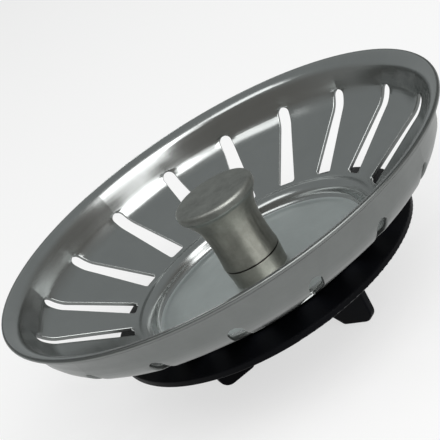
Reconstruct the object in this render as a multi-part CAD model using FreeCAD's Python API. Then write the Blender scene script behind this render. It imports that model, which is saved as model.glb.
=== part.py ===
import FreeCAD, Part
import math
import os

from FreeCAD import Vector

# Kitchen sink strainer plug. A pressed steel dish with radial slots is lifted by a turned
# knob. A rubber ring under the dish seals on the outlet, and a moulded foot with three legs
# centres it there. A stud in the knob screws into a nut in the foot and clamps the stack.
# Millimetres. Z runs up the axis, and the leg tips stand on Z = 0.

# Strainer basket, pressed from sheet. Depths and heights are those of its upper face.
SHEET = 0.7
RIM_RADIUS = 40.0
LIP_WIDTH = 2.05
LIP_BEND = 1.8
WALL_LEAN = 17.0
SHOULDER_DEPTH = 6.7
SHOULDER_BEND = 5.0
CONE_FOOT_BEND = 1.5
LEDGE_WIDTH = 2.0
STEP_TOP_RADIUS = 20.4
STEP_TOP_BEND = 1.1
STEP_HEIGHT = 2.4
STEP_LEAN = 18.0
FLOOR_BEND = 0.8
DISH_DEPTH = 16.3

# Radial slots, pierced through the cone and up into the shoulder.
SLOT_COUNT = 18
SLOT_FOOT_MARGIN = 0.6
SLOT_FOOT_WIDTH = 3.2
SLOT_TIP_WIDTH = 2.1
SLOT_TOP_DEPTH = 5.0
SLOT_ROOF_FLAT = 0.1
SLOT_CORNER = 0.5

# Knob and the collar under it.
KNOB_HEIGHT = 12.65
KNOB_HEAD_RADIUS = 7.05
KNOB_HEAD_BAND = 1.5
KNOB_EDGE_ROUND = 0.8
KNOB_WAIST_RADIUS = 4.85
KNOB_WAIST_HEIGHT = 3.65
KNOB_NECK_RISE = 3.3
KNOB_FOOT_RADIUS = 5.15
COLLAR_HEIGHT = 3.35
COLLAR_TOP_RADIUS = 5.05
COLLAR_FOOT_RADIUS = 4.8
SEAM_CHAMFER = 0.2

# Stud, nut and stud seal.
STUD_RADIUS = 2.5
STUD_GRIP = 8.0
STUD_TAIL = 0.8
STUD_END_CHAMFER = 0.4
STUD_END_GAP = 0.3
NUT_ACROSS_FLATS = 8.0
NUT_HEIGHT = 4.0
NUT_CHAMFER_DEPTH = 0.35
O_RING_WIDTH = 2.0
O_RING_HEIGHT = 1.2
O_RING_ROUND = 0.35

# Rubber seal ring.
SEAL_OVERHANG = 5.0
SEAL_LIP = 1.2
SEAL_EDGE_ROUND = 0.3

# Moulded guide foot.
PLATE_OVERHANG = 0.6
PLATE_THICKNESS = 2.0
PLATE_EDGE_ROUND = 0.5
HUB_RADIUS = 7.0
HUB_FILLET = 1.0
HUB_EDGE_ROUND = 0.5
HUB_SKIRT = 1.6
POCKET_ROOF = 1.6
LEG_COUNT = 3
LEG_START_ANGLE = -44.5
LEG_LENGTH = 10.1
LEG_THICKNESS = 1.6
LEG_OUTER_RADIUS = 16.2
LEG_TIP_WIDTH = 6.0
LEG_DRAFT = 4.6
LEG_LEAD_ROUND = 1.95
LEG_HEEL_ROUND = 0.8
LEG_EDGE_ROUND = 0.3

# Clearances.
THREAD_CLEARANCE = 0.05
STUD_HOLE_CLEARANCE = 0.2
NUT_POCKET_CLEARANCE = 0.1
O_RING_SEAT_CLEARANCE = 0.1
SEAL_CLEARANCE = 0.3
CUT_OVERRUN = 1.0

# Levels along the axis, from the leg tips up.
PLATE_TOP = LEG_LENGTH + PLATE_THICKNESS
FLOOR = PLATE_TOP + SHEET
LEDGE = FLOOR + STEP_HEIGHT
RIM = FLOOR + DISH_DEPTH
KNOB_FOOT = FLOOR + COLLAR_HEIGHT
KNOB_TOP = KNOB_FOOT + KNOB_HEIGHT
NUT_TOP = PLATE_TOP - O_RING_HEIGHT - POCKET_ROOF
NUT_FOOT = NUT_TOP - NUT_HEIGHT
HUB_FOOT = NUT_FOOT - HUB_SKIRT
STUD_FOOT = NUT_FOOT - STUD_TAIL
STUD_TOP = KNOB_FOOT + STUD_GRIP

# Radii that follow from the step of the dish.
CONE_FOOT_RADIUS = STEP_TOP_RADIUS + LEDGE_WIDTH
SEAL_RADIUS = CONE_FOOT_RADIUS + SEAL_OVERHANG
PLATE_RADIUS = CONE_FOOT_RADIUS + PLATE_OVERHANG

# Radii that fit the stud.
THREAD_BORE = STUD_RADIUS + THREAD_CLEARANCE
STUD_HOLE = STUD_RADIUS + STUD_HOLE_CLEARANCE
O_RING_RADIUS = THREAD_BORE + O_RING_WIDTH
O_RING_SEAT = O_RING_RADIUS + O_RING_SEAT_CLEARANCE

ORIGIN = Vector(0, 0, 0)
UP = Vector(0, 0, 1)


def section_point(radius, height):
    """A point of a turned section, which lies in the XZ plane."""
    return Vector(radius, 0, height)


def corner_round(before, corner, after, radius):
    """Start, middle and end of the arc that rounds a corner."""
    back = (before - corner).normalize()
    ahead = (after - corner).normalize()
    half_angle = back.getAngle(ahead) / 2
    bisector = (back + ahead).normalize()
    reach = radius / math.tan(half_angle)
    depth = radius / math.sin(half_angle) - radius
    return corner + back * reach, corner + bisector * depth, corner + ahead * reach


def outline(corners):
    """A closed wire through (point, radius) corners. A radius of 0 leaves the corner sharp."""
    points = [point for point, radius in corners]
    rounds = []
    for i, (point, radius) in enumerate(corners):
        after = points[(i + 1) % len(points)]
        if radius > 0:
            rounds.append(corner_round(points[i - 1], point, after, radius))
        else:
            rounds.append((point, None, point))
    edges = []
    for i, (start, middle, end) in enumerate(rounds):
        last_end = rounds[i - 1][2]
        if last_end.distanceToPoint(start) > Part.Precision.confusion():
            edges.append(Part.LineSegment(last_end, start).toShape())
        if middle:
            edges.append(Part.Arc(start, middle, end).toShape())
    return Part.Wire(edges)


def turned(wire):
    """The solid that a closed section sweeps round the axis."""
    return Part.Face(wire).revolve(ORIGIN, UP, 360)


def spaced_round(shape, count, start_angle):
    """Copies of a shape, evenly spaced round the axis."""
    copies = []
    for i in range(count):
        copy = shape.copy()
        copy.rotate(ORIGIN, UP, start_angle + i * 360 / count)
        copies.append(copy)
    return copies


def hexagon_prism(across_flats, foot, top):
    """A hexagon prism on the axis."""
    corner_radius = across_flats / math.sqrt(3)
    corners = []
    for i in range(6):
        angle = math.radians(i * 60)
        corners.append(Vector(corner_radius * math.cos(angle), corner_radius * math.sin(angle), foot))
    face = Part.Face(Part.makePolygon(corners + corners[:1]))
    return face.extrude(UP * (top - foot))


def dish_corners():
    """The corners of the dish's upper face from rim to centre, each with its bend radius."""
    wall_top = RIM_RADIUS - LIP_WIDTH
    shoulder = wall_top - SHOULDER_DEPTH * math.tan(math.radians(WALL_LEAN))
    floor_radius = STEP_TOP_RADIUS - STEP_HEIGHT * math.tan(math.radians(STEP_LEAN))
    return [
        (section_point(RIM_RADIUS, RIM), SHEET / 2),
        (section_point(wall_top, RIM), LIP_BEND),
        (section_point(shoulder, RIM - SHOULDER_DEPTH), SHOULDER_BEND),
        (section_point(CONE_FOOT_RADIUS, LEDGE), CONE_FOOT_BEND),
        (section_point(STEP_TOP_RADIUS, LEDGE), STEP_TOP_BEND),
        (section_point(floor_radius, FLOOR), FLOOR_BEND),
        (section_point(STUD_HOLE, FLOOR), 0),
    ]


def lower_normal(start, end):
    """The direction from the upper face of a sheet to its lower face."""
    along = (end - start).normalize()
    return Vector(-along.z, 0, along.x)


def sheet_section(upper, thickness):
    """The closed section of a bent sheet of even thickness, from the corners of its upper face."""
    points = [point for point, radius in upper]
    normals = [lower_normal(start, end) for start, end in zip(points, points[1:])]
    lower = [(points[0] + normals[0] * thickness, upper[0][1])]
    for (point, radius), first, second in zip(upper[1:], normals, normals[1:]):
        mitre = (first + second) * (thickness / (1 + first.dot(second)))
        bends_down = first.cross(second).y < 0
        lower_radius = radius - thickness if bends_down else radius + thickness
        lower.append((point + mitre, lower_radius))
    lower.append((points[-1] + normals[-1] * thickness, upper[-1][1]))
    return outline(upper + lower[::-1])


def slot_cutter():
    """The cutter of one slot along +X: it narrows outwards and has a round roof in the wall."""
    start = CONE_FOOT_RADIUS + SLOT_FOOT_MARGIN
    tip = RIM_RADIUS - LIP_WIDTH
    end = RIM_RADIUS + CUT_OVERRUN
    end_width = SLOT_FOOT_WIDTH + (SLOT_TIP_WIDTH - SLOT_FOOT_WIDTH) * (end - start) / (tip - start)
    corners = [
        (Vector(start, -SLOT_FOOT_WIDTH / 2, FLOOR), SLOT_CORNER),
        (Vector(end, -end_width / 2, FLOOR), 0),
        (Vector(end, end_width / 2, FLOOR), 0),
        (Vector(start, SLOT_FOOT_WIDTH / 2, FLOOR), SLOT_CORNER),
    ]
    roof = RIM - SLOT_TOP_DEPTH
    block = Part.Face(outline(corners)).extrude(UP * (roof - FLOOR))
    sides = [edge for edge in block.Edges if is_roof_side(edge, roof)]
    return block.makeFillet((end_width - SLOT_ROOF_FLAT) / 2, sides)


def is_roof_side(edge, roof):
    """Whether an edge is one of the two long ones at the roof of the slot's cutter."""
    box = edge.BoundBox
    return box.ZMin > roof - CUT_OVERRUN and box.XLength > SLOT_FOOT_WIDTH


def strainer_basket():
    """The pressed dish with its ring of slots."""
    dish = turned(sheet_section(dish_corners(), SHEET))
    return dish.cut(spaced_round(slot_cutter(), SLOT_COUNT, 0))


def arc_from_tangent(start, tangent, end):
    """The arc that leaves a start point along a tangent and reaches an end point."""
    chord = end - start
    along = Vector(tangent).normalize()
    across = chord - along * chord.dot(along)
    turn = along.getAngle(chord)
    radius = chord.Length / (2 * math.sin(turn))
    side = across.normalize()
    middle = start + along * (radius * math.sin(turn)) + side * (radius * (1 - math.cos(turn)))
    return Part.Arc(start, middle, end)


def knob():
    """The trumpet knob: a waisted stem that flares to a flat head, bored for the stud."""
    waist_level = KNOB_FOOT + KNOB_WAIST_HEIGHT
    spread = KNOB_FOOT_RADIUS - KNOB_WAIST_RADIUS
    sweep = (KNOB_WAIST_HEIGHT ** 2 + spread ** 2) / (2 * spread)
    waist_centre = KNOB_WAIST_RADIUS + sweep
    lean = math.asin(KNOB_NECK_RISE / sweep)
    foot_lean = math.asin((KNOB_WAIST_HEIGHT - SEAM_CHAMFER) / sweep)
    band_foot = KNOB_TOP - KNOB_HEAD_BAND
    bore_top = STUD_TOP + STUD_END_GAP

    stem_foot = section_point(waist_centre - sweep * math.cos(foot_lean), KNOB_FOOT + SEAM_CHAMFER)
    waist = section_point(KNOB_WAIST_RADIUS, waist_level)
    neck = section_point(waist_centre - sweep * math.cos(lean), waist_level + KNOB_NECK_RISE)
    band = section_point(KNOB_HEAD_RADIUS, band_foot)
    band_top = section_point(KNOB_HEAD_RADIUS, KNOB_TOP - KNOB_EDGE_ROUND)
    edge = section_point(KNOB_HEAD_RADIUS - KNOB_EDGE_ROUND, KNOB_TOP)
    edge_middle = corner_round(band, section_point(KNOB_HEAD_RADIUS, KNOB_TOP), edge, KNOB_EDGE_ROUND)[1]
    flat_path = [
        edge,
        section_point(0, KNOB_TOP),
        section_point(0, bore_top),
        section_point(THREAD_BORE, bore_top),
        section_point(THREAD_BORE, KNOB_FOOT),
        section_point(KNOB_FOOT_RADIUS - SEAM_CHAMFER, KNOB_FOOT),
        stem_foot,
    ]
    edges = [
        Part.Arc(stem_foot, waist, neck).toShape(),
        arc_from_tangent(neck, Vector(math.sin(lean), 0, math.cos(lean)), band).toShape(),
        Part.LineSegment(band, band_top).toShape(),
        Part.Arc(band_top, edge_middle, edge).toShape(),
    ]
    for start, end in zip(flat_path, flat_path[1:]):
        edges.append(Part.LineSegment(start, end).toShape())
    return turned(Part.Wire(edges))


def knob_collar():
    """The tapered collar that holds the knob off the floor of the dish."""
    wire = outline([
        (section_point(STUD_HOLE, FLOOR), 0),
        (section_point(COLLAR_FOOT_RADIUS, FLOOR), 0),
        (section_point(COLLAR_TOP_RADIUS, KNOB_FOOT - SEAM_CHAMFER), 0),
        (section_point(COLLAR_TOP_RADIUS - SEAM_CHAMFER, KNOB_FOOT), 0),
        (section_point(STUD_HOLE, KNOB_FOOT), 0),
    ])
    return turned(wire)


def knob_stud():
    """The stud that is fixed in the knob and screws into the nut."""
    tip = STUD_RADIUS - STUD_END_CHAMFER
    wire = outline([
        (section_point(0, STUD_FOOT), 0),
        (section_point(tip, STUD_FOOT), 0),
        (section_point(STUD_RADIUS, STUD_FOOT + STUD_END_CHAMFER), 0),
        (section_point(STUD_RADIUS, STUD_TOP - STUD_END_CHAMFER), 0),
        (section_point(tip, STUD_TOP), 0),
        (section_point(0, STUD_TOP), 0),
    ])
    return turned(wire)


def captive_nut():
    """The hexagon nut, its corners turned off at both ends."""
    flat_radius = NUT_ACROSS_FLATS / 2
    corner_radius = NUT_ACROSS_FLATS / math.sqrt(3)
    blank = turned(outline([
        (section_point(THREAD_BORE, NUT_FOOT), 0),
        (section_point(flat_radius, NUT_FOOT), 0),
        (section_point(corner_radius, NUT_FOOT + NUT_CHAMFER_DEPTH), 0),
        (section_point(corner_radius, NUT_TOP - NUT_CHAMFER_DEPTH), 0),
        (section_point(flat_radius, NUT_TOP), 0),
        (section_point(THREAD_BORE, NUT_TOP), 0),
    ]))
    return blank.common(hexagon_prism(NUT_ACROSS_FLATS, NUT_FOOT, NUT_TOP))


def stud_o_ring():
    """The rubber ring that is squeezed round the stud between floor and foot."""
    foot = PLATE_TOP - O_RING_HEIGHT
    wire = outline([
        (section_point(THREAD_BORE, foot), O_RING_ROUND),
        (section_point(O_RING_RADIUS, foot), O_RING_ROUND),
        (section_point(O_RING_RADIUS, PLATE_TOP), O_RING_ROUND),
        (section_point(THREAD_BORE, PLATE_TOP), O_RING_ROUND),
    ])
    return turned(wire)


def seal_ring():
    """The rubber ring on the foot's plate: thick under the ledge, thin at its sealing lip."""
    upper = dish_corners()
    shoulder = upper[2][0]
    cone_foot = upper[3][0]
    drop = SHEET + SEAL_CLEARANCE
    cone = (shoulder - cone_foot).normalize()
    under_cone = cone_foot + lower_normal(shoulder, cone_foot) * drop
    step_run = math.tan(math.radians(STEP_LEAN))
    inner = STEP_TOP_RADIUS + drop
    ledge_foot = LEDGE - SHEET
    seat_end = under_cone + cone * ((ledge_foot - under_cone.z) / cone.z)
    wire = outline([
        (section_point(inner - STEP_HEIGHT * step_run, PLATE_TOP), 0),
        (section_point(SEAL_RADIUS, PLATE_TOP), SEAL_EDGE_ROUND),
        (section_point(SEAL_RADIUS, PLATE_TOP + SEAL_LIP), SEAL_EDGE_ROUND),
        (seat_end, 0),
        (section_point(inner, ledge_foot), 0),
    ])
    return turned(wire)


def foot_leg():
    """One leg along +X: an upright fin from the hub to the guide circle, its free edges rounded."""
    root = HUB_RADIUS - HUB_EDGE_ROUND
    flare = LEG_LENGTH * math.tan(math.radians(LEG_DRAFT))
    profile = outline([
        (section_point(root, LEG_LENGTH), 0),
        (section_point(root, HUB_FOOT + HUB_EDGE_ROUND), 0),
        (section_point(LEG_OUTER_RADIUS - LEG_TIP_WIDTH, 0), LEG_HEEL_ROUND),
        (section_point(LEG_OUTER_RADIUS, 0), LEG_LEAD_ROUND),
        (section_point(LEG_OUTER_RADIUS + flare, LEG_LENGTH), 0),
    ])
    profile.translate(Vector(0, -LEG_THICKNESS / 2, 0))
    fin = Part.Face(profile).extrude(Vector(0, LEG_THICKNESS, 0))
    free_edges = [edge for edge in fin.Edges if is_free_edge(edge, root)]
    return fin.makeFillet(LEG_EDGE_ROUND, free_edges)


def is_free_edge(edge, root):
    """Whether an edge of a leg follows its profile clear of the hub and the plate."""
    box = edge.BoundBox
    in_side_face = box.YLength < LEG_THICKNESS / 2
    return in_side_face and box.ZMin < LEG_LENGTH - CUT_OVERRUN and box.XMax > root + CUT_OVERRUN


def guide_foot():
    """The moulded foot: plate, hub and legs, with the seat of the ring and the nut's pocket."""
    plate = turned(outline([
        (section_point(0, HUB_FOOT), 0),
        (section_point(HUB_RADIUS, HUB_FOOT), HUB_EDGE_ROUND),
        (section_point(HUB_RADIUS, LEG_LENGTH), HUB_FILLET),
        (section_point(PLATE_RADIUS, LEG_LENGTH), PLATE_EDGE_ROUND),
        (section_point(PLATE_RADIUS, PLATE_TOP), 0),
        (section_point(0, PLATE_TOP), 0),
    ]))
    legs = spaced_round(foot_leg(), LEG_COUNT, LEG_START_ANGLE)
    seat_foot = PLATE_TOP - O_RING_HEIGHT
    stud_hole = Part.makeCylinder(STUD_HOLE, PLATE_TOP - HUB_FOOT, Vector(0, 0, HUB_FOOT))
    ring_seat = Part.makeCylinder(O_RING_SEAT, O_RING_HEIGHT + CUT_OVERRUN, Vector(0, 0, seat_foot))
    pocket_width = NUT_ACROSS_FLATS + 2 * NUT_POCKET_CLEARANCE
    pocket = hexagon_prism(pocket_width, HUB_FOOT - CUT_OVERRUN, NUT_TOP)
    return plate.fuse(legs).removeSplitter().cut([stud_hole, ring_seat, pocket])


def single_solid(shape):
    """The one solid of a finished piece."""
    assert len(shape.Solids) == 1
    return shape.Solids[0]


PIECES = [
    strainer_basket,
    knob,
    knob_collar,
    knob_stud,
    captive_nut,
    stud_o_ring,
    seal_ring,
    guide_foot,
]

os.makedirs("parts", exist_ok=True)
for piece in PIECES:
    solid = single_solid(piece())
    solid.exportStep(f"parts/{piece.__name__}.step")
    print(f"{piece.__name__}: {solid.Volume:.1f} mm3")
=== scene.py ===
import math

import bmesh
import bpy
from mathutils import Matrix, Quaternion, Vector


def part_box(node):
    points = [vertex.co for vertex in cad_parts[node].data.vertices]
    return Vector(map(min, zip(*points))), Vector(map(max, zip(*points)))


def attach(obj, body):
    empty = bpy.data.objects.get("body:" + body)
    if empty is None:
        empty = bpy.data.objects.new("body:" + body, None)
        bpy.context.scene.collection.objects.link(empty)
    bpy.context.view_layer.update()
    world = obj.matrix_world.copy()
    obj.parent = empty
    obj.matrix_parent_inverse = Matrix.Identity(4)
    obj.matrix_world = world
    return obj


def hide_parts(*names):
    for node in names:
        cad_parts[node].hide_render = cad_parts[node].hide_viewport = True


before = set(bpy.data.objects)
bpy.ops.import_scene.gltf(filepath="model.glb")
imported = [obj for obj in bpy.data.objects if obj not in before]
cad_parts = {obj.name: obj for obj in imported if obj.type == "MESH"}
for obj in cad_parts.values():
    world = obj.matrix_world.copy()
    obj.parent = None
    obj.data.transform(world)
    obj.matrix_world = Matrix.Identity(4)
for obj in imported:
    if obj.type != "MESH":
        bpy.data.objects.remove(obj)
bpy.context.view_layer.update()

# Sink strainer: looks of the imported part. Metres, in the frame of the part.
MM = 0.001
MICRON = 0.001 * MM

# Camera, found by fitting the rim, the slots and the knob to the photograph.
CAMERA_AZIMUTH = 2.26
CAMERA_ELEVATION = 21.05
CAMERA_ROLL = -33.09
CAMERA_DISTANCE = 0.2001
CAMERA_TARGET = Vector((-0.00124, -0.00005, 0.02407))
CAMERA_LENS = 101.56
CAMERA_NEAR = 0.01

# Studio: floor, grey room and lamps. The lift is the floor's share of plain white.
FLOOR_SIZE = 6.0
FLOOR_COLOUR = (0.95, 0.95, 0.95)
FLOOR_ROUGHNESS = 0.9
FLOOR_LIFT = 0.65
ROOM_DARK = (0.22, 0.212, 0.20)
ROOM_LIGHT = (0.35, 0.365, 0.365)
ROOM_TURN = (-0.1, 0.5, 0.5)
ROOM_LIGHT_FROM = 0.5
LAMP_DISTANCE = 1.0

# Colours of the finishes.
DISH_STEEL = (0.385, 0.40, 0.395)
# The outside steel is a satin finish, and its colour is also darkened as painted shade for the shadowed
# floor it reflects.
DISH_OUTSIDE_SHADED = (0.195, 0.205, 0.20)
DISH_FLOOR = (0.56, 0.60, 0.595)
KNOB_STEEL = (0.36, 0.355, 0.315)
KNOB_HEAD_STEEL = (0.35, 0.36, 0.335)
FASTENER_STEEL = (0.50, 0.50, 0.49)
# Painted shade: the colour of the shadow in the gap between knob and collar.
SEAM_PAINTED_SHADE = (0.02, 0.019, 0.017)
SEAL_RUBBER = (0.002, 0.0022, 0.003)
FOOT_PLASTIC = (0.0022, 0.0024, 0.0034)

# Patterns of the finishes: marks per metre, ring marks per radian, range of a noise value, mouldings.
WAVE_SCALE = 110.0
CLOUD_SCALE = 240.0
MOULDING_SCALE = 120.0
RING_SPREAD = 0.6
NOISE_LOW = 0.3
NOISE_HIGH = 0.7
MOULDING_CONTRAST = 1.8
MOULDING_GLOSS = 0.05

# Turn of the brushed direction of the knob, as a share of a full turn.
BRUSHED_TURN = 0.25

# Pressed dish: bends, slots and edges. Its rim and its floor come from the part.
dish_low, dish_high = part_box("strainer_basket")
SHEET = 0.7 * MM
RIM_RADIUS = dish_high.x
RIM_LEVEL = dish_high.z
FLOOR_LEVEL = dish_low.z + SHEET
LIP_WIDTH = 2.05 * MM
LIP_BEND = 2.5 * MM
WALL_LEAN = math.radians(17)
SHOULDER_DEPTH = 6.7 * MM
SHOULDER_BEND = 5.0 * MM
LEDGE_RADIUS = 22.4 * MM
LEDGE_BEND = 1.5 * MM
STEP_RADIUS = 20.4 * MM
STEP_BEND = 1.8 * MM
STEP_HEIGHT = 2.4 * MM
STEP_LEAN = math.radians(18)
FLOOR_BEND = 1.3 * MM
HOLE_RADIUS = 2.7 * MM
BEND_SEGMENTS = 8
CONE_RING_GAP = 3.0 * MM
WALL_RING_GAP = 0.8 * MM
FLOOR_RING_GAP = 6.0 * MM
SLOPE_RINGS = 3
FLOOR_RINGS = 2
SLOT_COUNT = 18
SLOT_START = LEDGE_RADIUS + 0.6 * MM
SLOT_FOOT_WIDTH = 3.2 * MM
SLOT_TIP_WIDTH = 2.1 * MM
SLOT_CORNER = 0.5 * MM
SLOT_ROOF = RIM_LEVEL - 5.0 * MM
SLOT_ROOF_ROUND = 0.94 * MM
SLOT_ROOF_FLAT = 0.1 * MM
SLOT_EDGE_ROUND = 0.12 * MM
SLOT_DENT = 0.15 * MM
SLOT_DENT_REACH = 3.5 * MM
LIP_EDGE_ROUND = 0.33 * MM
SLOT_EDGE_SEGMENTS = 2
LIP_EDGE_SEGMENTS = 4
SECTOR_STEPS = 9
SHARP_ANGLE = math.radians(50)
POLISHED, SATIN_SHADED_OUTSIDE, SATIN_FLOOR = range(3)

# Seam between the knob and its collar, with a band of painted shade along it.
SEAM_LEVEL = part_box("knob")[0].z
SEAM_SHADE_WIDTH = 0.22 * MM
SEAM_CHAMFER = 0.2 * MM
SEAM_ANGLE = math.radians(35)

# Knob: corners and bends of its section, heights over its foot.
KNOB_FOOT_RADIUS = 5.12 * MM
KNOB_WAIST_CORNER = 4.59 * MM
KNOB_WAIST_HEIGHT = 3.57 * MM
KNOB_WAIST_BEND = 22.3 * MM
KNOB_NECK_CORNER = 5.45 * MM
KNOB_NECK_HEIGHT = 9.34 * MM
KNOB_NECK_BEND = 7.0 * MM
KNOB_HEAD_BAND = 1.5 * MM
KNOB_BAND_ROUND = 0.8 * MM
KNOB_EDGE_ROUND = 0.75 * MM
KNOB_BORE_RADIUS = 2.55 * MM
KNOB_BORE_DEPTH = 8.3 * MM
KNOB_STEPS = 96

# Thread of the stud.
THREAD_PITCH = 0.8 * MM
THREAD_DEPTH = 0.45 * MM
THREAD_FLANK = 0.42 * THREAD_PITCH
THREAD_CREST = 0.12 * THREAD_PITCH
THREAD_STEPS = 28

MERGE_DISTANCE = 0.001 * MM
AXIS = {"cent": (0, 0, 0), "axis": (0, 0, 1)}


def new_material(name):
    """An empty material: its node tree and its main shader."""
    material = bpy.data.materials.new(name)
    material.use_nodes = True
    tree = material.node_tree
    return material, tree, tree.nodes["Principled BSDF"]


def object_point(tree):
    """The socket of the place on the piece, in metres."""
    return tree.nodes.new("ShaderNodeTexCoord").outputs["Object"]


def noise(tree, vector, scale, detail=3.0, roughness=0.5):
    """The value socket of a noise pattern."""
    node = tree.nodes.new("ShaderNodeTexNoise")
    node.inputs["Scale"].default_value = scale
    node.inputs["Detail"].default_value = detail
    node.inputs["Roughness"].default_value = roughness
    tree.links.new(vector, node.inputs["Vector"])
    return node.outputs["Fac"]


def spread(tree, value, low, high):
    """A pattern value brought from its usual middle range to a range of the caller's."""
    node = tree.nodes.new("ShaderNodeMapRange")
    node.inputs["From Min"].default_value = NOISE_LOW
    node.inputs["From Max"].default_value = NOISE_HIGH
    node.inputs["To Min"].default_value = low
    node.inputs["To Max"].default_value = high
    tree.links.new(value, node.inputs["Value"])
    return node.outputs["Result"]


def tint(tree, value, dark, light):
    """A colour between two, by a pattern value."""
    node = tree.nodes.new("ShaderNodeValToRGB")
    node.color_ramp.elements[0].position = NOISE_LOW
    node.color_ramp.elements[1].position = NOISE_HIGH
    node.color_ramp.elements[0].color = (*dark, 1)
    node.color_ramp.elements[1].color = (*light, 1)
    tree.links.new(value, node.inputs["Fac"])
    return node.outputs["Color"]


def bump(tree, height, distance, normal=None):
    """The normal of a surface raised by a pattern of a given height in metres."""
    node = tree.nodes.new("ShaderNodeBump")
    node.inputs["Distance"].default_value = distance
    tree.links.new(height, node.inputs["Height"])
    if normal:
        tree.links.new(normal, node.inputs["Normal"])
    return node.outputs["Normal"]


def ring_point(tree, point, along, round_axis):
    """A place whose pattern runs in rings: fine along radius and height, slow round the axis."""
    split = tree.nodes.new("ShaderNodeSeparateXYZ")
    tree.links.new(point, split.inputs["Vector"])
    angle = tree.nodes.new("ShaderNodeMath")
    angle.operation = "ARCTAN2"
    tree.links.new(split.outputs["Y"], angle.inputs[0])
    tree.links.new(split.outputs["X"], angle.inputs[1])
    flat = tree.nodes.new("ShaderNodeVectorMath")
    flat.operation = "MULTIPLY"
    flat.inputs[1].default_value = (1, 1, 0)
    tree.links.new(point, flat.inputs[0])
    radius = tree.nodes.new("ShaderNodeVectorMath")
    radius.operation = "LENGTH"
    tree.links.new(flat.outputs["Vector"], radius.inputs[0])
    joined = tree.nodes.new("ShaderNodeCombineXYZ")
    tree.links.new(radius.outputs["Value"], joined.inputs["X"])
    tree.links.new(split.outputs["Z"], joined.inputs["Y"])
    tree.links.new(angle.outputs["Value"], joined.inputs["Z"])
    scaled = tree.nodes.new("ShaderNodeVectorMath")
    scaled.operation = "MULTIPLY"
    scaled.inputs[1].default_value = (along, along, round_axis)
    tree.links.new(joined.outputs["Vector"], scaled.inputs[0])
    return scaled.outputs["Vector"]


def ring_direction(tree, point):
    """The direction round the axis of the part at a place on the piece."""
    across = tree.nodes.new("ShaderNodeVectorMath")
    across.operation = "CROSS_PRODUCT"
    across.inputs[0].default_value = AXIS["axis"]
    tree.links.new(point, across.inputs[1])
    turned = tree.nodes.new("ShaderNodeVectorTransform")
    turned.vector_type = "VECTOR"
    turned.convert_from = "OBJECT"
    turned.convert_to = "WORLD"
    tree.links.new(across.outputs["Vector"], turned.inputs["Vector"])
    return turned.outputs["Vector"]


def painted_seam_shade(tree, point, colour, level):
    """A colour that turns to painted shade in the seam at a given level, standing in for the shadow in the
    gap between knob and collar.
    """
    split = tree.nodes.new("ShaderNodeSeparateXYZ")
    tree.links.new(point, split.inputs["Vector"])
    apart = tree.nodes.new("ShaderNodeMath")
    apart.operation = "SUBTRACT"
    apart.inputs[1].default_value = level
    tree.links.new(split.outputs["Z"], apart.inputs[0])
    gap = tree.nodes.new("ShaderNodeMath")
    gap.operation = "ABSOLUTE"
    tree.links.new(apart.outputs["Value"], gap.inputs[0])
    share = tree.nodes.new("ShaderNodeMapRange")
    share.inputs["From Min"].default_value = SEAM_SHADE_WIDTH / 2
    share.inputs["From Max"].default_value = SEAM_SHADE_WIDTH
    tree.links.new(gap.outputs["Value"], share.inputs["Value"])
    mixed = tree.nodes.new("ShaderNodeMix")
    mixed.data_type = "RGBA"
    mixed.inputs["A"].default_value = (*SEAM_PAINTED_SHADE, 1)
    tree.links.new(share.outputs["Result"], mixed.inputs["Factor"])
    tree.links.new(colour, mixed.inputs["B"])
    return mixed.outputs["Result"]


def steel(name, colour, shade, rough, ring_scale, ring_height, wave_height=0.0, anisotropy=0.0, seam=None):
    """Steel with rings left by turning or polishing, soft waves from pressing, an uneven tone, and painted
    shade in the seam when a seam level is given.
    """
    material, tree, shader = new_material(name)
    point = object_point(tree)
    rings = noise(tree, ring_point(tree, point, ring_scale, RING_SPREAD), 1.0, 4.0, 0.6)
    waves = noise(tree, point, WAVE_SCALE, 1.0)
    cloud = noise(tree, point, CLOUD_SCALE, 5.0, 0.7)
    dark = [shade * c for c in colour]
    shader.inputs["Metallic"].default_value = 1.0
    shader.inputs["Anisotropic"].default_value = anisotropy
    base = tint(tree, cloud, dark, colour)
    # Painted shade darkens the colour in the seam between knob and collar.
    if seam:
        base = painted_seam_shade(tree, point, base, seam)
    tree.links.new(base, shader.inputs["Base Color"])
    tree.links.new(spread(tree, rings, *rough), shader.inputs["Roughness"])
    waved = bump(tree, waves, wave_height)
    tree.links.new(bump(tree, rings, ring_height, waved), shader.inputs["Normal"])
    if anisotropy:
        tree.links.new(ring_direction(tree, point), shader.inputs["Tangent"])
        shader.inputs["Anisotropic Rotation"].default_value = BRUSHED_TURN
    return material


def black_moulding(name, colour, rough, grain_scale, grain_height):
    """Rubber or plastic from a mould, with a fine grain."""
    material, tree, shader = new_material(name)
    point = object_point(tree)
    grain = noise(tree, point, grain_scale, 4.0, 0.6)
    cloud = noise(tree, point, MOULDING_SCALE)
    light = [MOULDING_CONTRAST * c for c in colour]
    shader.inputs["Specular IOR Level"].default_value = MOULDING_GLOSS
    tree.links.new(tint(tree, cloud, colour, light), shader.inputs["Base Color"])
    tree.links.new(spread(tree, cloud, *rough), shader.inputs["Roughness"])
    tree.links.new(bump(tree, grain, grain_height), shader.inputs["Normal"])
    return material


def finish_node(node, material):
    """Gives a node of the part its looks."""
    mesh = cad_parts[node].data
    mesh.materials.clear()
    mesh.materials.append(material)


def add_piece(name, mesh, material, body, node):
    """Makes a finished mesh a piece that rides on a body and stands for a node of the part."""
    for face in mesh.faces:
        face.smooth = True
    data = bpy.data.meshes.new(name)
    mesh.to_mesh(data)
    mesh.free()
    data.materials.append(material)
    piece = bpy.data.objects.new(name, data)
    bpy.context.scene.collection.objects.link(piece)
    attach(piece, body)
    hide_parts(node)
    return piece


def add_wire(mesh, corners):
    """A chain of edges through (radius, level) corners of a turned section, in the XZ plane."""
    verts = [mesh.verts.new((radius, 0, level)) for radius, level in corners]
    for start, end in zip(verts, verts[1:]):
        mesh.edges.new((start, end))
    return verts


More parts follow.
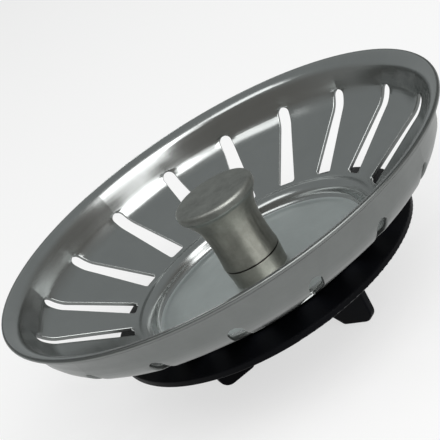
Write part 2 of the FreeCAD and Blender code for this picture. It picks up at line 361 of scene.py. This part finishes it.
def round_corner(mesh, corner, radius):
    """Rounds a corner of a wire by a bend radius."""
    first, second = [edge.other_vert(corner).co - corner.co for edge in corner.link_edges]
    reach = radius / math.tan(first.angle(second) / 2)
    bmesh.ops.bevel(
        mesh, geom=[corner], offset=reach, offset_type="OFFSET", segments=BEND_SEGMENTS,
        profile=0.5, affect="VERTICES", clamp_overlap=False, material=-1)


def round_edges(mesh, edges, radius, segments):
    """Rounds sharp edges."""
    bmesh.ops.bevel(
        mesh, geom=edges, offset=radius, offset_type="OFFSET", segments=segments,
        profile=0.5, affect="EDGES", clamp_overlap=False, material=-1)


def cut_wire(mesh, point, normal):
    """Adds the vertex where a plane crosses a wire."""
    geometry = mesh.verts[:] + mesh.edges[:]
    bmesh.ops.bisect_plane(mesh, geom=geometry, dist=MERGE_DISTANCE, plane_co=point, plane_no=normal)


def turn_about_axis(mesh, verts, angle):
    """Turns vertices about the axis of the part."""
    bmesh.ops.rotate(mesh, verts=verts, cent=(0, 0, 0), matrix=Matrix.Rotation(angle, 3, "Z"))


def half_slot(radius, level):
    """Half the width of a slot at a place of the cone or the wall."""
    reach = (radius - SLOT_START) / (RIM_RADIUS - LIP_WIDTH - SLOT_START)
    half = (SLOT_FOOT_WIDTH + (SLOT_TIP_WIDTH - SLOT_FOOT_WIDTH) * reach) / 2
    into_corner = min(max(SLOT_START + SLOT_CORNER - radius, 0), SLOT_CORNER)
    half -= SLOT_CORNER - math.sqrt(SLOT_CORNER ** 2 - into_corner ** 2)
    into_roof = min(max(level - SLOT_ROOF + SLOT_ROOF_ROUND, 0), SLOT_ROOF_ROUND)
    arch = math.sqrt(1 - (into_roof / SLOT_ROOF_ROUND) ** 2)
    return max(half * arch, SLOT_ROOF_FLAT / 2)


def slot_dent(side, level):
    """How far the sheet was pushed outward by the piercing, round the tip of a slot."""
    away = math.hypot(side, level - SLOT_ROOF + SLOT_ROOF_ROUND) / SLOT_DENT_REACH
    return SLOT_DENT * max(1 - away ** 2, 0) ** 2


def dish_wire(mesh):
    """The upper face of the dish in section, with a vertex wherever the slots need one."""
    shoulder_radius = RIM_RADIUS - LIP_WIDTH - SHOULDER_DEPTH * math.tan(WALL_LEAN)
    ledge_level = FLOOR_LEVEL + STEP_HEIGHT
    floor_radius = STEP_RADIUS - STEP_HEIGHT * math.tan(STEP_LEAN)
    corners = add_wire(mesh, [
        (RIM_RADIUS, RIM_LEVEL),
        (RIM_RADIUS - LIP_WIDTH, RIM_LEVEL),
        (shoulder_radius, RIM_LEVEL - SHOULDER_DEPTH),
        (LEDGE_RADIUS, ledge_level),
        (STEP_RADIUS, ledge_level),
        (floor_radius, FLOOR_LEVEL),
        (HOLE_RADIUS, FLOOR_LEVEL),
    ])
    bends = [LIP_BEND, SHOULDER_BEND, LEDGE_BEND, STEP_BEND, FLOOR_BEND]
    for corner, bend in zip(corners[1:-1], bends):
        round_corner(mesh, corner, bend)
    for angle in range(0, 91, 30):
        into = SLOT_CORNER * (1 - math.cos(math.radians(angle)))
        cut_wire(mesh, (SLOT_START + into, 0, 0), (1, 0, 0))
    for angle in range(0, 91, 15):
        below = SLOT_ROOF_ROUND * (1 - math.sin(math.radians(angle)))
        cut_wire(mesh, (0, 0, SLOT_ROOF - below), (0, 0, 1))
    for i in range(1, SLOPE_RINGS + 1):
        cut_wire(mesh, (SLOT_START + i * CONE_RING_GAP, 0, 0), (1, 0, 0))
        cut_wire(mesh, (0, 0, SLOT_ROOF + i * WALL_RING_GAP), (0, 0, 1))
    for i in range(1, FLOOR_RINGS + 1):
        cut_wire(mesh, (HOLE_RADIUS + i * FLOOR_RING_GAP, 0, 0), (1, 0, 0))


def dish_sector(mesh):
    """One slot's share of the dish, with its middle strip fitted to the slot and cleared."""
    half_sector = math.pi / SLOT_COUNT
    half_strip = half_sector / SECTOR_STEPS
    turn_about_axis(mesh, mesh.verts[:], -half_sector)
    section = mesh.verts[:] + mesh.edges[:]
    bmesh.ops.spin(mesh, geom=section, **AXIS, angle=2 * half_sector, steps=SECTOR_STEPS)
    for vert in mesh.verts:
        radius = vert.co.xy.length
        angle = math.atan2(vert.co.y, vert.co.x)
        side = half_slot(radius, vert.co.z) / radius if radius > LEDGE_RADIUS else half_strip
        share = (abs(angle) - half_strip) / (half_sector - half_strip)
        fitted = math.copysign(side + (half_sector - side) * share, angle)
        turn_about_axis(mesh, [vert], fitted - angle)
        outward = vert.co.xy.normalized().to_3d()
        bmesh.ops.translate(mesh, verts=[vert], vec=outward * slot_dent(fitted * radius, vert.co.z))
    slot = [face for face in mesh.faces if in_slot(face.calc_center_median())]
    bmesh.ops.delete(mesh, geom=slot, context="FACES")


def in_slot(centre):
    """Whether the middle of a face lies in the slot along +X."""
    return abs(centre.y) < SLOT_ROOF_FLAT / 4 and centre.x > SLOT_START and centre.z < SLOT_ROOF


def dish_finish(face):
    """Which finish a face of the dish has: the outside and the lip's edge get the satin steel whose colour
    is darkened as painted shade.
    """
    centre = face.calc_center_median()
    # The lip's edge also takes the darkened outside steel, which is painted shade over its highlight.
    if face.normal.z < 0 or centre.xy.length > RIM_RADIUS - LIP_EDGE_ROUND:
        return SATIN_SHADED_OUTSIDE
    if abs(centre.z - FLOOR_LEVEL) < SHEET / 4:
        return SATIN_FLOOR
    return POLISHED


def build_dish(polished, outside, floor):
    """The pressed dish, with the rolled edges of its slots and its lip."""
    mesh = bmesh.new()
    dish_wire(mesh)
    dish_sector(mesh)
    sector = mesh.verts[:] + mesh.edges[:] + mesh.faces[:]
    other_sectors = 2 * math.pi * (SLOT_COUNT - 1) / SLOT_COUNT
    bmesh.ops.spin(
        mesh, geom=sector, **AXIS, angle=other_sectors, steps=SLOT_COUNT - 1, use_duplicate=True)
    bmesh.ops.remove_doubles(mesh, verts=mesh.verts[:], dist=MERGE_DISTANCE)
    bmesh.ops.recalc_face_normals(mesh, faces=mesh.faces[:])
    bmesh.ops.solidify(mesh, geom=mesh.faces[:], thickness=SHEET)
    sharp = [edge for edge in mesh.edges if edge.calc_face_angle() > SHARP_ANGLE]
    lip = [edge for edge in sharp if edge.verts[0].co.xy.length > RIM_RADIUS - SHEET / 2]
    slots = [edge for edge in sharp if edge.verts[0].co.xy.length < RIM_RADIUS - SHEET / 2]
    round_edges(mesh, slots, SLOT_EDGE_ROUND, SLOT_EDGE_SEGMENTS)
    round_edges(mesh, lip, LIP_EDGE_ROUND, LIP_EDGE_SEGMENTS)
    mesh.normal_update()
    for face in mesh.faces:
        face.material_index = dish_finish(face)
    dish = add_piece("dish", mesh, polished, "strainer", "strainer_basket")
    dish.data.materials.append(outside)
    dish.data.materials.append(floor)
    dish.modifiers.new("even_shading", "WEIGHTED_NORMAL")


def build_knob(turned, head):
    """The trumpet knob, with the rounded edges of its head."""
    low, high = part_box("knob")
    mesh = bmesh.new()
    corners = add_wire(mesh, [
        (0, low.z + KNOB_BORE_DEPTH),
        (KNOB_BORE_RADIUS, low.z + KNOB_BORE_DEPTH),
        (KNOB_BORE_RADIUS, low.z),
        (KNOB_FOOT_RADIUS - SEAM_CHAMFER, low.z),
        (KNOB_FOOT_RADIUS, low.z + SEAM_CHAMFER),
        (KNOB_WAIST_CORNER, low.z + KNOB_WAIST_HEIGHT),
        (KNOB_NECK_CORNER, low.z + KNOB_NECK_HEIGHT),
        (high.x, high.z - KNOB_HEAD_BAND),
        (high.x, high.z),
        (0, high.z),
    ])
    bends = [KNOB_WAIST_BEND, KNOB_NECK_BEND, KNOB_BAND_ROUND, KNOB_EDGE_ROUND]
    for corner, bend in zip(corners[5:9], bends):
        round_corner(mesh, corner, bend)
    section = mesh.verts[:] + mesh.edges[:]
    bmesh.ops.spin(mesh, geom=section, **AXIS, angle=2 * math.pi, steps=KNOB_STEPS, use_merge=True)
    bmesh.ops.remove_doubles(mesh, verts=mesh.verts[:], dist=MERGE_DISTANCE)
    bmesh.ops.recalc_face_normals(mesh, faces=mesh.faces[:])
    head_level = high.z - KNOB_HEAD_BAND - KNOB_BAND_ROUND
    for face in mesh.faces:
        face.material_index = int(face.calc_center_median().z > head_level)
    knob = add_piece("turned_knob", mesh, turned, "knob", "knob")
    knob.data.materials.append(head)
    knob.data.set_sharp_from_angle(angle=SEAM_ANGLE)
    even = knob.modifiers.new("even_shading", "WEIGHTED_NORMAL")
    even.keep_sharp = True


def build_stud(material):
    """The stud with its thread, cut to length."""
    low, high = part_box("knob_stud")
    crest = high.x
    root = crest - THREAD_DEPTH
    start = low.z - THREAD_PITCH
    turns = math.ceil((high.z - start) / THREAD_PITCH) + 1
    mesh = bmesh.new()
    add_wire(mesh, [
        (root, start),
        (crest, start + THREAD_FLANK),
        (crest, start + THREAD_FLANK + THREAD_CREST),
        (root, start + 2 * THREAD_FLANK + THREAD_CREST),
        (root, start + THREAD_PITCH),
    ])
    rise = (0, 0, THREAD_PITCH / THREAD_STEPS)
    section = mesh.verts[:] + mesh.edges[:]
    steps = turns * THREAD_STEPS
    bmesh.ops.spin(mesh, geom=section, **AXIS, dvec=rise, angle=turns * 2 * math.pi, steps=steps)
    bmesh.ops.remove_doubles(mesh, verts=mesh.verts[:], dist=MERGE_DISTANCE)
    for level, direction in ((low.z, -1), (high.z, 1)):
        geometry = mesh.verts[:] + mesh.edges[:] + mesh.faces[:]
        bmesh.ops.bisect_plane(
            mesh, geom=geometry, dist=MERGE_DISTANCE, plane_co=(0, 0, level),
            plane_no=(0, 0, direction), clear_outer=True)
    rims = [edge for edge in mesh.edges if edge.is_boundary]
    bmesh.ops.holes_fill(mesh, edges=rims, sides=0)
    bmesh.ops.recalc_face_normals(mesh, faces=mesh.faces[:])
    stud = add_piece("threaded_stud", mesh, material, "stud", "knob_stud")
    stud.data.set_sharp_from_angle(angle=SHARP_ANGLE)


def build_floor():
    """The pale floor that the strainer stands on."""
    bpy.ops.mesh.primitive_plane_add(size=FLOOR_SIZE)
    floor = bpy.context.object
    floor.name = "floor"
    material, tree, shader = new_material("floor")
    shader.inputs["Base Color"].default_value = (*FLOOR_COLOUR, 1)
    shader.inputs["Roughness"].default_value = FLOOR_ROUGHNESS
    shader.inputs["Specular IOR Level"].default_value = 0.0
    seen = tree.nodes.new("ShaderNodeLightPath")
    share = None
    for ray in ("Is Camera Ray", "Is Glossy Ray", "Is Transmission Ray"):
        part = tree.nodes.new("ShaderNodeMath")
        part.operation = "MULTIPLY_ADD"
        part.use_clamp = True
        part.inputs[1].default_value = FLOOR_LIFT
        part.inputs[2].default_value = 0.0
        tree.links.new(seen.outputs[ray], part.inputs[0])
        if share:
            tree.links.new(share, part.inputs[2])
        share = part.outputs["Value"]
    white = tree.nodes.new("ShaderNodeEmission")
    mixed = tree.nodes.new("ShaderNodeMixShader")
    tree.links.new(share, mixed.inputs["Fac"])
    tree.links.new(shader.outputs["BSDF"], mixed.inputs[1])
    tree.links.new(white.outputs["Emission"], mixed.inputs[2])
    tree.links.new(mixed.outputs["Shader"], tree.nodes["Material Output"].inputs["Surface"])
    floor.data.materials.append(material)


def add_softbox(name, azimuth, elevation, size, power):
    """A rectangular lamp that faces the strainer."""
    side = math.radians(azimuth)
    rise = math.radians(elevation)
    level = math.cos(rise)
    place = Vector((math.cos(side) * level, math.sin(side) * level, math.sin(rise))) * LAMP_DISTANCE
    lamp = bpy.data.lights.new(name, "AREA")
    lamp.shape = "RECTANGLE"
    lamp.size, lamp.size_y = size
    lamp.energy = power
    holder = bpy.data.objects.new(name, lamp)
    holder.location = place
    holder.rotation_euler = (-place).to_track_quat("-Z", "Y").to_euler()
    bpy.context.scene.collection.objects.link(holder)


def build_light():
    """Soft studio light in a grey room that is light above and behind, and dark in front."""
    world = bpy.data.worlds.new("studio")
    world.use_nodes = True
    tree = world.node_tree
    lean = tree.nodes.new("ShaderNodeVectorMath")
    lean.operation = "DOT_PRODUCT"
    lean.inputs[1].default_value = ROOM_TURN
    tree.links.new(tree.nodes.new("ShaderNodeTexCoord").outputs["Generated"], lean.inputs[0])
    ramp = tree.nodes.new("ShaderNodeValToRGB")
    ramp.color_ramp.elements[0].color = (*ROOM_DARK, 1)
    ramp.color_ramp.elements[1].color = (*ROOM_LIGHT, 1)
    ramp.color_ramp.elements[1].position = ROOM_LIGHT_FROM
    tree.links.new(lean.outputs["Value"], ramp.inputs["Fac"])
    tree.links.new(ramp.outputs["Color"], tree.nodes["Background"].inputs["Color"])
    bpy.context.scene.world = world
    add_softbox("key", azimuth=-57, elevation=42, size=(0.8, 0.9), power=8.2)
    add_softbox("front", azimuth=-92, elevation=52, size=(0.35, 0.5), power=0.9)
    add_softbox("fill", azimuth=-146, elevation=60, size=(0.62, 0.3), power=1.3)


def build_camera():
    """The camera of the photograph, which was rolled."""
    azimuth = math.radians(CAMERA_AZIMUTH)
    elevation = math.radians(CAMERA_ELEVATION)
    level = math.cos(elevation)
    back = Vector((math.sin(azimuth) * level, -math.cos(azimuth) * level, math.sin(elevation)))
    camera = bpy.data.objects.new("camera", bpy.data.cameras.new("camera"))
    camera.location = CAMERA_TARGET + back * CAMERA_DISTANCE
    camera.rotation_mode = "QUATERNION"
    roll = Quaternion((0, 0, 1), math.radians(CAMERA_ROLL))
    camera.rotation_quaternion = (-back).to_track_quat("-Z", "Y") @ roll
    camera.data.lens = CAMERA_LENS
    camera.data.clip_start = CAMERA_NEAR
    bpy.context.scene.collection.objects.link(camera)
    bpy.context.scene.camera = camera


dish_steel = steel(
    "dish_steel", DISH_STEEL, shade=0.95, rough=(0.16, 0.24),
    ring_scale=900.0, ring_height=2 * MICRON, wave_height=30 * MICRON)
# Painted shade: the outside's colour is kept dark for the shadowed floor it reflects, on top of its satin
# finish.
dish_outside_shaded = steel(
    "dish_outside_shaded", DISH_OUTSIDE_SHADED, shade=0.9, rough=(0.3, 0.4),
    ring_scale=900.0, ring_height=4 * MICRON, wave_height=40 * MICRON)
dish_floor = steel(
    "dish_floor", DISH_FLOOR, shade=0.93, rough=(0.42, 0.52),
    ring_scale=900.0, ring_height=3 * MICRON, wave_height=30 * MICRON)
knob_steel = steel(
    "knob_steel", KNOB_STEEL, shade=0.6, rough=(0.29, 0.35),
    ring_scale=2500.0, ring_height=0.8 * MICRON, anisotropy=0.97, seam=SEAM_LEVEL)
knob_head = steel(
    "knob_head", KNOB_HEAD_STEEL, shade=0.6, rough=(0.42, 0.52),
    ring_scale=2500.0, ring_height=3 * MICRON, wave_height=10 * MICRON)
fastener_steel = steel(
    "fastener_steel", FASTENER_STEEL, shade=0.85, rough=(0.24, 0.34),
    ring_scale=1500.0, ring_height=8 * MICRON)
seal_rubber = black_moulding(
    "seal_rubber", SEAL_RUBBER, rough=(0.42, 0.55), grain_scale=2500.0, grain_height=10 * MICRON)
foot_plastic = black_moulding(
    "foot_plastic", FOOT_PLASTIC, rough=(0.38, 0.5), grain_scale=4000.0, grain_height=10 * MICRON)

finish_node("knob_collar", knob_steel)
finish_node("captive_nut", fastener_steel)
finish_node("stud_o_ring", seal_rubber)
finish_node("seal_ring", seal_rubber)
finish_node("guide_foot", foot_plastic)
build_dish(dish_steel, dish_outside_shaded, dish_floor)
build_knob(knob_steel, knob_head)
build_stud(fastener_steel)

build_floor()
build_light()
build_camera()
bpy.context.scene.view_settings.view_transform = "Standard"
